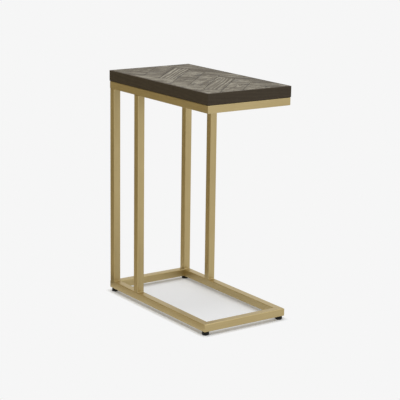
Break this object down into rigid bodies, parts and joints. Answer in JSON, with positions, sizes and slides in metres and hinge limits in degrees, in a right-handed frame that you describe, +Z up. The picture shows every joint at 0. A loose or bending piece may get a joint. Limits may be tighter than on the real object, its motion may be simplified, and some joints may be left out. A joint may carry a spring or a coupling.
{
  "type": "sofa table",
  "caption": "C-shaped sofa side table: rectangular herringbone oak top on a satin gold square-tube frame with uprights at one end, an open gap for the seat and screw-adjustable feet.",
  "frame": {"origin": "on the floor, under the middle of the table's outline", "axes": "+X along the long side to the open end, +Y across to the right as seen when facing the open end, +Z up"},
  "size_m": [0.45, 0.25, 0.6],
  "materials": {
    "frame_gold": "satin champagne gold plating on steel tube",
    "zinc_hardware": "zinc plated",
    "foot_black": "matt black moulded nylon",
    "face_oak": "grey-brown oiled rustic oak, satin",
    "edge_oak": "dark brown stained oak, satin",
    "core_board": "raw wood-fibre board"
  },
  "bodies": {
    "table": {"base_rail_left": "frame_gold", "base_rail_right": "frame_gold", "base_rail_front": "frame_gold", "base_rail_rear": "frame_gold", "top_rail_left": "frame_gold", "top_rail_right": "frame_gold", "top_rail_front": "frame_gold", "top_rail_rear": "frame_gold", "upright_rear_left": "frame_gold", "upright_rear_right": "frame_gold", "upright_inner_left": "frame_gold", "upright_inner_right": "frame_gold", "mounting_tab_front_left": "frame_gold", "mounting_tab_front_right": "frame_gold", "mounting_tab_rear_left": "frame_gold", "mounting_tab_rear_right": "frame_gold", "top_screw_front_left": "zinc_hardware", "top_screw_front_right": "zinc_hardware", "top_screw_rear_left": "zinc_hardware", "top_screw_rear_right": "zinc_hardware", "foot_insert_front_left": "zinc_hardware", "foot_insert_front_right": "zinc_hardware", "foot_insert_rear_left": "zinc_hardware", "foot_insert_rear_right": "zinc_hardware", "top_core": "core_board", "balancing_veneer": "edge_oak", "face_veneer": "face_oak", "lipping_left": "edge_oak", "lipping_right": "edge_oak", "lipping_front": "edge_oak", "lipping_rear": "edge_oak"},
    "stud_front_left": {"foot_stud_front_left": "zinc_hardware"},
    "pad_front_left": {"foot_pad_front_left": "foot_black"},
    "stud_front_right": {"foot_stud_front_right": "zinc_hardware"},
    "pad_front_right": {"foot_pad_front_right": "foot_black"},
    "stud_rear_left": {"foot_stud_rear_left": "zinc_hardware"},
    "pad_rear_left": {"foot_pad_rear_left": "foot_black"},
    "stud_rear_right": {"foot_stud_rear_right": "zinc_hardware"},
    "pad_rear_right": {"foot_pad_rear_right": "foot_black"}
  },
  "joints": [
    {"name": "height_front_left", "type": "slide", "parent": "table", "child": "stud_front_left", "axis": [0, 0, -1], "range_m": [0, 0.008]},
    {"name": "turn_front_left", "type": "hinge", "parent": "stud_front_left", "child": "pad_front_left", "pos_m": [0.2135, -0.1135, 0.004], "axis": [0, 0, -1], "range_deg": [0, 2880]},
    {"name": "height_front_right", "type": "slide", "parent": "table", "child": "stud_front_right", "axis": [0, 0, -1], "range_m": [0, 0.008]},
    {"name": "turn_front_right", "type": "hinge", "parent": "stud_front_right", "child": "pad_front_right", "pos_m": [0.2135, 0.1135, 0.004], "axis": [0, 0, -1], "range_deg": [0, 2880]},
    {"name": "height_rear_left", "type": "slide", "parent": "table", "child": "stud_rear_left", "axis": [0, 0, -1], "range_m": [0, 0.008]},
    {"name": "turn_rear_left", "type": "hinge", "parent": "stud_rear_left", "child": "pad_rear_left", "pos_m": [-0.2135, -0.1135, 0.004], "axis": [0, 0, -1], "range_deg": [0, 2880]},
    {"name": "height_rear_right", "type": "slide", "parent": "table", "child": "stud_rear_right", "axis": [0, 0, -1], "range_m": [0, 0.008]},
    {"name": "turn_rear_right", "type": "hinge", "parent": "stud_rear_right", "child": "pad_rear_right", "pos_m": [-0.2135, 0.1135, 0.004], "axis": [0, 0, -1], "range_deg": [0, 2880]}
  ],
  "couplings": [
    {"joint": "height_front_left", "follows": "turn_front_left", "m_per_rad": 0.00015915},
    {"joint": "height_front_right", "follows": "turn_front_right", "m_per_rad": 0.00015915},
    {"joint": "height_rear_left", "follows": "turn_rear_left", "m_per_rad": 0.00015915},
    {"joint": "height_rear_right", "follows": "turn_rear_right", "m_per_rad": 0.00015915}
  ]
}
